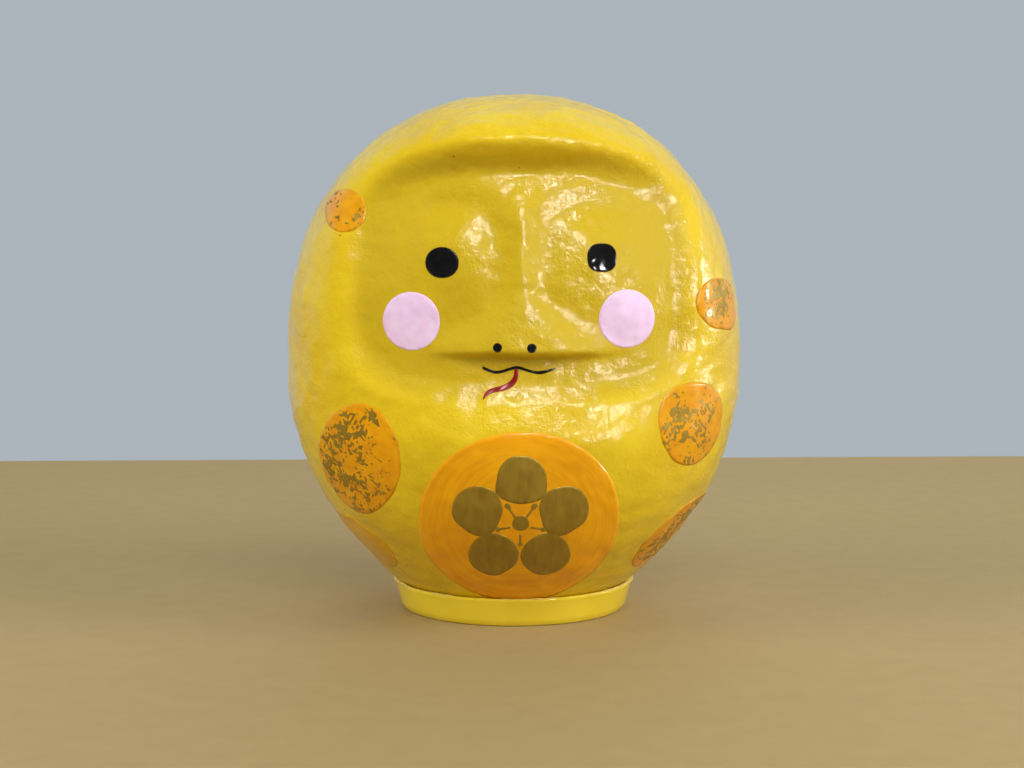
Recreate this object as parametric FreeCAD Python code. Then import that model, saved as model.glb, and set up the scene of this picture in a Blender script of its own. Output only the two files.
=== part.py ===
"""A papier-mache daruma: a hollow moulded-pulp doll glued into a weighted foot, with a painted
snake face, a belly disc and sponged spots.

Everything is in millimetres. The origin is the centre of the foot's underside, +Z is up and the face
looks along -Y. Each painted mark is a thin film of its own that lies on the shell.
"""

import FreeCAD, Part
import functools
import math
import os

from FreeCAD import Vector

# ---- driving dimensions ----------------------------------------------------------------------------
HEIGHT = 200.0  # foot's underside to crown
HALF_WIDTH = 88.2  # at the widest level
WIDEST_Z = 92.6
WALL = 2.2  # pulp wall
FOOT_HEIGHT = 11.0
FOOT_TOP_RADIUS = 47.2
FOOT_BOTTOM_RADIUS = 44.4
FOOT_FLOOR = 3.0
FOOT_EDGE = 1.0  # rounding of the foot's lower edge
SEAT_Z = 4.2  # lowest edge of the shell, inside the foot
GLUE_GAP = 0.25  # between the shell and the foot
GLUE_WIDTH, GLUE_HEIGHT = 1.2, 1.0  # glue that shows along the seam
CLAY_NECK_RADIUS = 32.5  # where the clay passes the shell's open bottom
CLAY_RADIUS = 39.0  # inside the shell, pressed out against its wall
CLAY_NECK_TOP, CLAY_BRIM, CLAY_TOP = 8.5, 13.5, 22.0
FILM = 0.25  # thickness of a paint film
FILM_GAP = 0.05  # under each film, so that no two solids share space

# ---- outline of the shell --------------------------------------------------------------------------
CROWN_POWERS = (2.55, 2.1)  # front view, above the widest level
TAPER_POWERS = (1.75, 1.71)  # front view, below it
TAPER_END_Z = -9.3  # where the lower curve would close if the foot didn't cut it
BELLY_Z = 76.0  # most forward level of the belly
BELLY_DEPTH = 83.0
HOOD_POWERS = (8.0, 2.1)  # side view of the front, above the belly
BACK_SHARE = 0.94  # depth of the back as a share of the half width
FRONT_POWER = 2.3  # how square the front half of a level section is
BACK_POWER = 2.05
ROUND_Z = 14.0  # level sections are round circles below this, where the foot holds the shell
DEEP_FRONT_Z, SHALLOW_BACK_Z, SQUARE_Z = 50.0, 70.0, 60.0  # where each has fully left the circle

# ---- the face, sunk into the front -----------------------------------------------------------------
FACE_Z = 127.5
FACE_HALF_WIDTH = 60.5
FACE_RISE, FACE_DROP = 45.5, 36.7  # from that level up to the hood and down to the collar
FACE_TOP_POWER, FACE_BOTTOM_POWER = 3.0, 4.5  # squareness of its outline
FACE_FLOOR_SHARE, FACE_RIM_SHARE, FACE_HOOD_SHARE = 0.87, 1.13, 1.20  # where its walls start and end
FACE_DEPTH_SIDE, FACE_DEPTH_TOP, FACE_DEPTH_BOTTOM = 9.0, 16.5, 6.0
FACE_BULGE = 1.0
COLLAR = {"low": 73.0, "full": 90.0, "fade": 125.0, "depth": 4.0, "width": 55.8}
EYE_X, EYE_Z = 24.6, 139.5  # centre of each eye mound
EYE_MOUND = {"height": 1.8, "width": 11.5}
EYE_GROOVE = {"depth": 1.8, "radius": 17.5, "width": 7.5, "lean": 0.6, "from": -0.5, "full": 0.8}
BROW = {"height": 1.3, "radius": 27.0, "width": 8.0, "rise": 18.0}
NOSE_Z = 104.0  # level of the snout's lower edge
NOSE = {"height": 2.8, "width": 6.0, "power": 1.8, "fade": 150.0, "end": 172.0}
SNOUT = {"height": 4.4, "width": 20.0, "power": 2.2, "rise": 24.0, "edge": 1.5}  # added to the nose
CHEEK_SWELL = {"x": 41.0, "z": 116.0, "height": 1.8, "width": 13.0}
LIPS = {"z": 93.0, "height": 2.0, "half_width": 30.0, "half_height": 8.0}

# ---- painted marks ---------------------------------------------------------------------------------
# Left and right are as seen by someone facing the doll: left is -X.
# Round marks on the front: x, z, half width, half height, squareness (2 is an ellipse).
EYES = {"left_eye": (-28.0, 136.8, 5.9, 5.45, 2.1), "right_eye": (28.6, 138.5, 5.35, 5.05, 2.6)}
CHEEKS = {"left_cheek": (-39.0, 116.0, 10.2, 10.4, 2.0), "right_cheek": (37.8, 116.8, 10.3, 10.4, 2.0)}
NOSTRILS = {"left_nostril": (-8.7, 107.2, 1.6, 1.65, 2.0), "right_nostril": (3.3, 107.0, 1.7, 1.65, 2.0)}
DISC = (-0.4, 43.8, 36.3, 34.1, 2.05)
# Brush lines on the front: x, z of the line's own points, and its width at each.
MOUTH = [(-13.7, 99.9), (-11.6, 98.7), (-8.8, 98.0), (-5.7, 98.9), (-2.2, 99.9), (0.6, 99.4)]
MOUTH += [(4.5, 98.1), (8.0, 98.1), (12.3, 99.5)]
MOUTH_WIDTHS = [0.95, 1.1, 1.1, 1.05, 1.1, 1.05, 1.0, 1.2, 0.5]
TONGUE = [(-1.8, 99.0), (-2.2, 96.4), (-3.9, 94.0), (-7.1, 92.5), (-10.6, 91.7), (-12.8, 90.4), (-14.0, 88.5)]
TONGUE_WIDTHS = [1.5, 1.7, 2.1, 1.8, 1.6, 1.2, 0.35]
# Plum blossom on the disc: five round petals, a centre and five stamens.
BLOSSOM_CENTRE = (-0.3, 44.3)
PETALS = 5
PETAL_REACH, PETAL_RADIUS = 16.2, 8.9  # from the blossom's centre to a petal's, and half its width
HEART_RADIUS = 3.0
STAMEN_START, STAMEN_END, STAMEN_WIDTH, ANTHER_RADIUS = 4.6, 8.4, 0.8, 0.95
# Spots: bearing in degrees anticlockwise from +X, z, half width, half height, squareness, tilt.
SPOTS = {
    "left_temple": (-143.8, 156.7, 12.6, 8.0, 2.0, -27),
    "right_rim": (-32.4, 121.0, 16.2, 9.5, 2.7, -5),
    "left_shoulder": (-135.2, 63.8, 24.3, 18.3, 2.2, 42),
    "right_shoulder": (-43.6, 78.1, 18.5, 15.4, 2.1, -10),
    "right_hip": (-26.0, 33.0, 22.0, 18.5, 2.3, 8),
    "left_hip": (-156.0, 30.0, 19.5, 15.0, 2.1, -6),
    "back_crown": (62.0, 156.0, 13.5, 12.0, 2.2, 20),
    "back_right": (28.0, 92.0, 17.0, 15.5, 2.2, 10),
    "back_middle": (118.0, 106.0, 19.0, 16.5, 2.2, -15),
    "back_left": (164.0, 70.0, 16.0, 17.5, 2.3, 5),
    "back_low": (60.0, 45.0, 20.0, 17.0, 2.3, -8),
}
BARE_SPOTS = ("left_hip",)  # without sponged gold
SPOT_WAVER, DISC_WAVER, DAB_WAVER = 0.015, 0.004, 0.1
DAB_LARGE, DAB_SMALL, DAB_FLATNESS = 0.24, 0.10, 0.8  # dab sizes as shares of the spot's half height
GOLDEN_ANGLE = 2.39996
SPONGE_DABS = 7  # gold dabs on a spot
SPONGE_SPREAD = 0.72  # how far out they reach, as a share of the spot


# ---- finding a point of the shell from outside it --------------------------------------------------
RAY_STEP, RAY_REACH = 1.0, 140.0
HALVINGS = 20


def smoothstep(low, high, value):
    share = min(max((value - low) / (high - low), 0.0), 1.0)
    return share * share * (3 - 2 * share)


def bell(value, width):
    return math.exp(-((value / width) ** 2))


def dome(share, powers):
    """Height-to-radius curve of a superellipse: 1 at share 0, 0 at share 1."""
    outer, inner = powers
    return max(0.0, 1 - min(share, 1.0) ** outer) ** (1 / inner)


def half_width(z):
    if z >= WIDEST_Z:
        return HALF_WIDTH * dome((z - WIDEST_Z) / (HEIGHT - WIDEST_Z), CROWN_POWERS)
    return HALF_WIDTH * dome((WIDEST_Z - z) / (WIDEST_Z - TAPER_END_Z), TAPER_POWERS)


def front_depth(z):
    """Depth of the hood and the belly in front of the axis; round where the foot holds the shell."""
    if z >= BELLY_Z:
        full = BELLY_DEPTH * dome((z - BELLY_Z) / (HEIGHT - BELLY_Z), HOOD_POWERS)
    else:
        full = BELLY_DEPTH * dome((BELLY_Z - z) / (BELLY_Z - TAPER_END_Z), TAPER_POWERS)
    return half_width(z) + (full - half_width(z)) * smoothstep(ROUND_Z, DEEP_FRONT_Z, z)


def back_depth(z):
    return half_width(z) * (1 - (1 - BACK_SHARE) * smoothstep(ROUND_Z, SHALLOW_BACK_Z, z))


def section_power(z, full):
    return 2 + (full - 2) * smoothstep(ROUND_Z, SQUARE_Z, z)


def face_floor(x, z):
    """Share of the face's depth reached at a point, and the face's depth there without its features."""
    across = abs(x) / FACE_HALF_WIDTH
    up = (z - FACE_Z) / (FACE_RISE if z > FACE_Z else FACE_DROP)
    power = FACE_TOP_POWER if z > FACE_Z else FACE_BOTTOM_POWER
    ring = (across**power + abs(up) ** power) ** (1 / power)
    rim = FACE_RIM_SHARE + (FACE_HOOD_SHARE - FACE_RIM_SHARE) * smoothstep(0.2, 0.9, up)
    depth = FACE_DEPTH_SIDE + (FACE_DEPTH_TOP - FACE_DEPTH_SIDE) * smoothstep(0.0, 1.0, up)
    depth += (FACE_DEPTH_BOTTOM - FACE_DEPTH_SIDE) * smoothstep(0.3, 1.0, -up)
    bulge = FACE_BULGE * max(0.0, 1 - across**2) * max(0.0, 1 - up**2)
    return 1 - smoothstep(FACE_FLOOR_SHARE, rim, ring), depth - bulge


def collar_depth(x, z):
    """How far the belly's top edge is drawn in under the face."""
    level = smoothstep(COLLAR["low"], COLLAR["full"], z) * (1 - smoothstep(COLLAR["full"], COLLAR["fade"], z))
    return COLLAR["depth"] * level * bell(x, COLLAR["width"])


def face_relief(x, z):
    """How far the face and the collar under it lie behind the hood's outline."""
    inside, depth = face_floor(x, z)
    return collar_depth(x, z) + inside * (depth + eye_socket(x, z) - face_ridges(x, z))


def eye_socket(x, z):
    """Groove round each eye mound, deepest above it and towards the nose."""
    dx, dz = abs(x) - EYE_X, z - EYE_Z
    reach = math.hypot(dx, dz)
    towards = (dz - EYE_GROOVE["lean"] * dx) / max(reach, 1.0)
    above = smoothstep(EYE_GROOVE["from"], EYE_GROOVE["full"], towards)
    groove = EYE_GROOVE["depth"] * above * bell(reach - EYE_GROOVE["radius"], EYE_GROOVE["width"])
    return groove - EYE_MOUND["height"] * bell(reach, EYE_MOUND["width"])


def face_ridges(x, z):
    """Brows, snout, cheeks and lips, all standing out of the face."""
    side = abs(x)
    brow = BROW["height"] * bell(math.hypot(side - EYE_X, z - EYE_Z) - BROW["radius"], BROW["width"])
    brow *= smoothstep(0, BROW["rise"], z - EYE_Z)
    swell = CHEEK_SWELL["height"] * bell(side - CHEEK_SWELL["x"], CHEEK_SWELL["width"])
    swell *= bell(z - CHEEK_SWELL["z"], CHEEK_SWELL["width"])
    lips = LIPS["height"] * bell(side, LIPS["half_width"]) * bell(z - LIPS["z"], LIPS["half_height"])
    return brow + snout_ridge(side, z) + swell + lips


def snout_ridge(side, z):
    """The nose's narrow ridge, which flares into the snout and stops short at its lower edge."""
    flare = 1 - smoothstep(0, SNOUT["rise"], z - NOSE_Z)
    width = NOSE["width"] + SNOUT["width"] * flare
    power = NOSE["power"] + SNOUT["power"] * flare
    ridge = (NOSE["height"] + SNOUT["height"] * flare) * math.exp(-((side / width) ** power))
    below = smoothstep(-SNOUT["edge"], SNOUT["edge"], z - NOSE_Z)
    return ridge * below * (1 - smoothstep(NOSE["fade"], NOSE["end"], z))


def front_y(x, z):
    power = section_power(z, FRONT_POWER)
    reach = max(0.0, 1 - (abs(x) / max(half_width(z), 1e-9)) ** power)
    return -front_depth(z) * reach ** (1 / power) + face_relief(x, z)


def back_y(x, z):
    power = section_power(z, BACK_POWER)
    reach = max(0.0, 1 - (abs(x) / max(half_width(z), 1e-9)) ** power)
    return back_depth(z) * reach ** (1 / power)


def inside_shell(point):
    if not SEAT_Z < point.z < HEIGHT or abs(point.x) >= half_width(point.z):
        return False
    return front_y(point.x, point.z) < point.y < back_y(point.x, point.z)


def skin_point(angle, z):
    """Point of the shell's outer surface at a bearing about the axis, anticlockwise from +X."""
    front = math.sin(angle) < 0
    power = section_power(z, FRONT_POWER if front else BACK_POWER)
    depth = front_depth(z) if front else back_depth(z)
    across = abs(math.cos(angle)) / max(half_width(z), 1e-9)
    along = abs(math.sin(angle)) / max(depth, 1e-9)
    reach = (across**power + along**power) ** (-1 / power)
    x, y = reach * math.cos(angle), reach * math.sin(angle)
    return Vector(x, y + face_relief(x, z) if front else y, z)


def skin_normal(angle, z):
    if HEIGHT - z < 0.02:
        return Vector(0, 0, 1)
    step = 1e-3
    round_it = skin_point(angle + step, z) - skin_point(angle - step, z)
    up = skin_point(angle, z + step) - skin_point(angle, z - step)
    return round_it.cross(up).normalize()


def ray_to_skin(start, direction):
    """Where a ray from outside first meets the shell."""
    travel = 0.0
    while not inside_shell(start + direction * travel):
        travel += RAY_STEP
        if travel > RAY_REACH:
            raise ValueError("a ray misses the shell at {}".format(start))
    near, far = travel - RAY_STEP, travel
    for _ in range(HALVINGS):
        middle = (near + far) / 2
        if inside_shell(start + direction * middle):
            far = middle
        else:
            near = middle
    return start + direction * far


# ---- shell, foot and what is inside ----------------------------------------------------------------
SHELL_ROWS, SHELL_COLUMNS = 104, 140  # of the grid that the shell's surfaces are drawn through
FRONT_CROWDING = 0.55  # how much closer the columns stand on the face than on the back


def grid_angle(column):
    """Bearing of a column; the seam is at the middle of the back."""
    turn = 2 * math.pi * column / SHELL_COLUMNS
    return math.pi / 2 + turn + FRONT_CROWDING * math.sin(turn)


def poles_through(points, places):
    """Poles, knots and multiplicities of the cubic through points at the given parameters."""
    curve = Part.BSplineCurve()
    curve.interpolate(Points=points, Parameters=places)
    return curve.getPoles(), curve.getKnots(), curve.getMultiplicities()


def surface_through(rows):
    """Bicubic surface through a grid of points. The last row may be one point, as at the crown."""
    across = [column / (len(rows[0]) - 1) for column in range(len(rows[0]))]
    along = [row / (len(rows) - 1) for row in range(len(rows))]
    _, knots_across, counts_across = poles_through(rows[0], across)
    pointed = (rows[-1][0] - rows[-1][1]).Length < 1e-9
    rings = [poles_through(row, across)[0] for row in (rows[:-1] if pointed else rows)]
    if pointed:
        rings.append([rows[-1][0]] * len(rings[0]))
    columns = []
    for column in range(len(rings[0])):
        poles, knots_along, counts_along = poles_through([ring[column] for ring in rings], along)
        columns.append(poles)
    surface = Part.BSplineSurface()
    poles = [list(row) for row in zip(*columns)]
    surface.buildFromPolesMultsKnots(
        poles, counts_along, counts_across, knots_along, knots_across, False, False, 3, 3
    )
    return surface


@functools.lru_cache(maxsize=None)
def shell_surface(height):
    """The shell's outer surface, moved out by a height."""
    rows = []
    for row in range(SHELL_ROWS):
        z = SEAT_Z + (HEIGHT - SEAT_Z) * math.sin(math.pi / 2 * row / SHELL_ROWS)
        angles = [grid_angle(column) for column in range(SHELL_COLUMNS)]
        ring = [skin_point(a, z) + skin_normal(a, z) * height for a in angles]
        rows.append(ring + [ring[0]])
    rows.append([Vector(0, 0, HEIGHT + height)] * (SHELL_COLUMNS + 1))
    return surface_through(rows)


def lowest_edge(face):
    return min(face.Edges, key=lambda edge: edge.BoundBox.ZMax)


def paper_shell():
    outer, inner = shell_surface(0.0).toShape(), shell_surface(-WALL).toShape()
    rim = Part.makeRuledSurface(lowest_edge(outer), lowest_edge(inner))
    skin = Part.makeShell([outer, inner, rim])
    skin.sewShape()
    return Part.makeSolid(skin)


def revolve(points):
    """Solid of a closed profile of (radius, z) corners turned about the Z axis."""
    corners = [Vector(radius, 0, z) for radius, z in points]
    profile = Part.Face(Part.makePolygon(corners + corners[:1]))
    return profile.revolve(Vector(0, 0, 0), Vector(0, 0, 1), 360)


def base_dish():
    """Shallow tapered foot, hollowed to the shell's own curve so that the shell sits in it."""
    steps = 6
    seat = []
    for step in range(steps + 1):
        z = FOOT_HEIGHT + (SEAT_Z - FOOT_HEIGHT) * step / steps
        seat.append((half_width(z) + GLUE_GAP, z))
    outside = [(0, 0), (FOOT_BOTTOM_RADIUS, 0), (FOOT_TOP_RADIUS, FOOT_HEIGHT)]
    inside = [(seat[-1][0], FOOT_FLOOR), (0, FOOT_FLOOR)]
    dish = revolve(outside + seat + inside)
    lower_edges = [e for e in dish.Edges if e.BoundBox.ZMax < 0.1 and e.BoundBox.XLength > FOOT_BOTTOM_RADIUS]
    return dish.makeFillet(FOOT_EDGE, lower_edges)


def clay_weight():
    """Clay pressed in through the shell's open bottom: narrow there, wider inside, with a low dome."""
    low = FOOT_FLOOR + GLUE_GAP
    rise = CLAY_TOP - CLAY_BRIM
    neck = [(0, low), (CLAY_NECK_RADIUS, low), (CLAY_NECK_RADIUS, CLAY_NECK_TOP), (CLAY_RADIUS, CLAY_BRIM)]
    steps = 8
    dome_points = []
    for step in range(1, steps + 1):
        turn = math.pi / 2 * step / steps
        dome_points.append((CLAY_RADIUS * math.cos(turn), CLAY_BRIM + rise * math.sin(turn)))
    dome_points[-1] = (0, CLAY_TOP)
    return revolve(neck + dome_points)


def glue_bead():
    """Dried glue in the groove between the shell and the foot's rim."""
    low, high = FOOT_HEIGHT + FILM_GAP, FOOT_HEIGHT + GLUE_HEIGHT
    inner_low, inner_high = half_width(low) + GLUE_GAP, half_width(high) + GLUE_GAP
    outer = half_width(low) + GLUE_GAP + GLUE_WIDTH
    return revolve([(inner_low, low), (outer, low), (outer + FILM, high), (inner_high, high)])


# ---- paint films -----------------------------------------------------------------------------------
PAINT = (FILM_GAP, FILM_GAP + FILM)  # from how far to how far off the shell
OVERPAINT = (PAINT[1] + FILM_GAP, PAINT[1] + FILM_GAP + FILM)  # paint on paint
OUTLINE_POINTS = 20
STROKE_STEPS = 28
PRISM_REACH = 14.0  # how far a mark's outline is carried to each side of its centre
FRONT_REACH = 60.0


class Place:
    """A flat frame on the shell: a centre, the way out, and the across and up directions."""

    def __init__(self, centre, out, reach):
        self.centre, self.out, self.reach = centre, out, reach
        self.across = Vector(0, 0, 1).cross(out).normalize()
        self.up = out.cross(self.across)

    def point(self, across, up):
        return self.centre + self.across * across + self.up * up

    def on_skin(self, across, up):
        return ray_to_skin(self.point(across, up) + self.out * self.reach, self.out * -1)


def front_place(x, z):
    """Front marks are drawn as they look from straight ahead."""
    return Place(Vector(x, -FRONT_REACH, z), Vector(0, -1, 0), FRONT_REACH)


def side_place(bearing, z):
    angle = math.radians(bearing)
    return Place(skin_point(angle, z), skin_normal(angle, z), PRISM_REACH)


def blob(half_across, half_up, squareness=2.0, tilt=0.0, waver=0.0, centre=(0.0, 0.0)):
    """Closed outline of a painted dab: a superellipse, tilted, with a brush's slight waver."""
    points = []
    lean = math.radians(tilt)
    for step in range(OUTLINE_POINTS):
        angle = 2 * math.pi * step / OUTLINE_POINTS
        cosine, sine = math.cos(angle), math.sin(angle)
        reach = (abs(cosine) ** squareness + abs(sine) ** squareness) ** (-1 / squareness)
        reach *= 1 + waver * math.sin(3 * angle + half_across) + waver / 2 * math.sin(5 * angle + half_up)
        across, up = half_across * reach * cosine, half_up * reach * sine
        points.append((
            centre[0] + across * math.cos(lean) - up * math.sin(lean),
            centre[1] + across * math.sin(lean) + up * math.cos(lean),
        ))
    return points


def stroke(spine, widths):
    """Closed outline of a brush line along a smooth spine, with its width at each of its points."""
    curve = Part.BSplineCurve()
    places = [step / (len(spine) - 1) for step in range(len(spine))]
    curve.interpolate(Points=[Vector(across, up, 0) for across, up in spine], Parameters=places)
    left, right = [], []
    for step in range(STROKE_STEPS + 1):
        share = step / STROKE_STEPS
        index = min(int(share * (len(widths) - 1)), len(widths) - 2)
        part = share * (len(widths) - 1) - index
        half = (widths[index] * (1 - part) + widths[index + 1] * part) / 2
        point, along = curve.value(share), curve.tangent(share)[0]
        aside = Vector(-along.y, along.x, 0) * half
        left.append(point + aside)
        right.append(point - aside)
    return [(point.x, point.y) for point in left + right[::-1]]


def grid_place(point):
    """Row and column of the shell's grid at a point of its outer surface."""
    row = math.asin((point.z - SEAT_Z) / (HEIGHT - SEAT_Z)) / (math.pi / 2) * SHELL_ROWS
    level = point.y - face_relief(point.x, point.z) if point.y < 0 else point.y
    target = (math.atan2(level, point.x) - math.pi / 2) % (2 * math.pi)
    turn = target
    for _ in range(HALVINGS * 2):
        turn = target - FRONT_CROWDING * math.sin(turn)
    return row, turn / (2 * math.pi) * SHELL_COLUMNS


def slab(skin_points, layer):
    """Block of paint that follows the shell under and round the given points, between two heights."""
    rows, columns = zip(*(grid_place(point) for point in skin_points))
    row_span = (math.floor(min(rows)) - 1) / SHELL_ROWS, (math.ceil(max(rows)) + 1) / SHELL_ROWS
    column_span = (
        (math.floor(min(columns)) - 1) / SHELL_COLUMNS,
        (math.ceil(max(columns)) + 1) / SHELL_COLUMNS,
    )
    patches = []
    for height in layer:
        patch = shell_surface(height).copy()
        patch.segment(*row_span, *column_span)
        patches.append(patch)
    sides = []
    for along in range(2):
        low, high = [patch.uIso(row_span[along]).toShape() for patch in patches]
        sides.append(Part.makeRuledSurface(low, high))
        low, high = [patch.vIso(column_span[along]).toShape() for patch in patches]
        sides.append(Part.makeRuledSurface(low, high))
    skin = Part.makeShell([patch.toShape() for patch in patches] + sides)
    skin.sewShape()
    return Part.makeSolid(skin)


def prism(place, outline, smooth):
    """The outline as a straight-sided block that passes through the skin."""
    corners = [place.point(across, up) + place.out * place.reach for across, up in outline]
    if smooth:
        curve = Part.BSplineCurve()
        curve.interpolate(Points=corners, PeriodicFlag=True)
        wire = Part.Wire(curve.toShape())
    else:
        wire = Part.makePolygon(corners + corners[:1])
    return Part.Face(wire).extrude(place.out * (-2 * place.reach))


def film(place, outlines, layer=PAINT, smooth=True):
    """Thin paint inside one or more outlines on the shell."""
    skin_points = [place.on_skin(*point) for outline in outlines for point in outline]
    block = slab(skin_points, layer)
    pieces = []
    for outline in outlines:
        pieces += block.common(prism(place, outline, smooth)).Solids
    return pieces[0] if len(pieces) == 1 else Part.makeCompound(pieces)


# ---- marks on the front ----------------------------------------------------------------------------
def round_mark(size, waver=0.0):
    x, z, half_across, half_up, squareness = size
    return film(front_place(x, z), [blob(half_across, half_up, squareness, waver=waver)])


def line_mark(spine, widths):
    return film(front_place(0, 0), [stroke(spine, widths)], smooth=False)


def turned(reach, angle):
    """A point of the blossom, counted from its centre at an angle from straight up."""
    return -reach * math.sin(angle), reach * math.cos(angle)


def blossom_petals():
    outlines = []
    for petal in range(PETALS):
        angle = 2 * math.pi * petal / PETALS
        centre = turned(PETAL_REACH, angle)
        outlines.append(blob(PETAL_RADIUS, PETAL_RADIUS, 2.15, math.degrees(angle), 0.012, centre))
    return film(front_place(*BLOSSOM_CENTRE), outlines, OVERPAINT)


def blossom_centre():
    """The blossom's heart and the stamens that stand between its petals."""
    rounds, lines = [blob(HEART_RADIUS, HEART_RADIUS, waver=0.02)], []
    for stamen in range(PETALS):
        angle = 2 * math.pi * (stamen + 0.5) / PETALS
        ends = [turned(STAMEN_START, angle), turned(STAMEN_END - ANTHER_RADIUS - FILM, angle)]
        middle = tuple((a + b) / 2 for a, b in zip(*ends))
        lines.append(stroke([ends[0], middle, ends[1]], [STAMEN_WIDTH] * 3))
        rounds.append(blob(ANTHER_RADIUS, ANTHER_RADIUS, centre=turned(STAMEN_END, angle)))
    place = front_place(*BLOSSOM_CENTRE)
    pieces = film(place, rounds, OVERPAINT).Solids + film(place, lines, OVERPAINT, smooth=False).Solids
    return Part.makeCompound(pieces)


# ---- spots -----------------------------------------------------------------------------------------
def spot(name):
    bearing, z, half_across, half_up, squareness, tilt = SPOTS[name]
    outline = blob(half_across, half_up, squareness, tilt, SPOT_WAVER)
    return film(side_place(bearing, z), [outline])


def sponged_gold(name):
    """Dabs of gold scattered over the middle of a spot, largest in the middle."""
    bearing, z, half_across, half_up, _, tilt = SPOTS[name]
    lean = math.radians(tilt)
    outlines = []
    for dab in range(SPONGE_DABS):
        reach = SPONGE_SPREAD * math.sqrt(dab / (SPONGE_DABS - 1))
        angle = dab * GOLDEN_ANGLE + math.radians(bearing)
        across, up = half_across * reach * math.cos(angle), half_up * reach * math.sin(angle)
        centre = (
            across * math.cos(lean) - up * math.sin(lean),
            across * math.sin(lean) + up * math.cos(lean),
        )
        size = half_up * (DAB_LARGE + (DAB_SMALL - DAB_LARGE) * reach)
        outlines.append(blob(size, size * DAB_FLATNESS, 2.0, 30 * dab, DAB_WAVER, centre))
    return film(side_place(bearing, z), outlines, OVERPAINT)


def every_piece():
    """Name and solid of each piece, one at a time."""
    yield "paper_shell", paper_shell()
    yield "base_dish", base_dish()
    yield "clay_weight", clay_weight()
    yield "glue_bead", glue_bead()
    for name, size in {**EYES, **CHEEKS, **NOSTRILS}.items():
        yield name, round_mark(size)
    yield "mouth_line", line_mark(MOUTH, MOUTH_WIDTHS)
    yield "tongue", line_mark(TONGUE, TONGUE_WIDTHS)
    yield "belly_disc", round_mark(DISC, DISC_WAVER)
    yield "blossom_petals", blossom_petals()
    yield "blossom_centre", blossom_centre()
    for name in SPOTS:
        yield "spot_" + name, spot(name)
        if name not in BARE_SPOTS:
            yield "gold_" + name, sponged_gold(name)


def main():
    os.makedirs("parts", exist_ok=True)
    for name, shape in every_piece():
        if not shape.isValid():
            raise ValueError("{} is not a valid solid".format(name))
        print("{:22} {:10.1f} mm3 {:3d} solids".format(name, shape.Volume, len(shape.Solids)))
        shape.exportStep("parts/{}.step".format(name))


if __name__ == "__main__":
    main()
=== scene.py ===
"""Looks of a papier-mache daruma, built round its packed design.

The shell, the foot and every paint mark are made again as fine meshes that keep the design's sizes.
Shapes are worked out in millimetres, and each mesh is written in metres. The face looks along -Y.
"""

import math

import bpy
import numpy as np
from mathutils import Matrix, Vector
from mathutils.bvhtree import BVHTree
from mathutils.geometry import convex_hull_2d, delaunay_2d_cdt


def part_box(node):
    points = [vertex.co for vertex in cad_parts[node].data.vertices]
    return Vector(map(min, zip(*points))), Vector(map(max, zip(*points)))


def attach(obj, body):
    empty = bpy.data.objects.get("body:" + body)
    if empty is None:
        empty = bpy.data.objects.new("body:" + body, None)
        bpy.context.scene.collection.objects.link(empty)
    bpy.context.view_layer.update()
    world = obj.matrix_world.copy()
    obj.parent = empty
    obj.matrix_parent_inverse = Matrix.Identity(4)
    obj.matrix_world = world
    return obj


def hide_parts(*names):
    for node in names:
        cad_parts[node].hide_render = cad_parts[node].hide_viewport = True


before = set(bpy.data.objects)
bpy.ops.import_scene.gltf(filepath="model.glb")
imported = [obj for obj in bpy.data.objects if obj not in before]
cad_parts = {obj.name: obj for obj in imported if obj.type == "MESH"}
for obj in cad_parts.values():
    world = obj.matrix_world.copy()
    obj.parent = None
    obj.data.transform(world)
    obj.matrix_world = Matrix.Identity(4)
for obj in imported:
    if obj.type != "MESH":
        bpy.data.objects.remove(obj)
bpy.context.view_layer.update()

MM = 0.001
SEED = 7


def box_mm(node):
    low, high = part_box(node)
    return np.array(low) / MM, np.array(high) / MM


# ---- sizes, from the design ------------------------------------------------------------------------
SHELL_LOW, SHELL_HIGH = box_mm("paper_shell")
FOOT_HIGH = box_mm("base_dish")[1]
HEIGHT = SHELL_HIGH[2]
HALF_WIDTH = (SHELL_HIGH[0] - SHELL_LOW[0]) / 2
SEAT_Z = SHELL_LOW[2]
FOOT_HEIGHT = FOOT_HIGH[2]
FOOT_TOP_RADIUS = FOOT_HIGH[0]
FOOT_FLARE = 2.8
FOOT_BOTTOM_RADIUS = FOOT_TOP_RADIUS - FOOT_FLARE
FOOT = {"floor": 3.0, "lower_edge": 1.2, "upper_edge": 0.7}  # height of its floor, rounding of its edges
FOOT.update({"gap": 0.35, "seat": 1.5, "hole": 6.0, "ring": 26.0})  # round the shell, under it, and below
GLUE_RADIUS, GLUE_HALF = 46.4, 0.9  # the seam's radius, and half the glue line's size
WALL = 2.2

# Outline of the shell: from the front, and from the side.
WIDEST_Z = 92.6
CROWN_POWERS, TAPER_POWERS = (2.55, 2.1), (1.75, 1.71)  # above and below the widest level
TAPER_END_Z = -9.3  # where the lower curve would close if the foot didn't cut it
BELLY_Z, BELLY_DEPTH = 76.0, 83.0
HOOD_POWERS = (8.0, 2.1)  # side view of the front, above the belly
BACK_SHARE = 0.94  # depth of the back as a share of the half width
FRONT_POWER, BACK_POWER = 2.3, 2.05  # how square the two halves of a level section are
ROUND_Z = 14.0  # level sections are round circles below this, where the foot holds the shell
DEEP_FRONT_Z, SHALLOW_BACK_Z, SQUARE_Z = 50.0, 70.0, 60.0  # where each has fully left the circle

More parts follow.
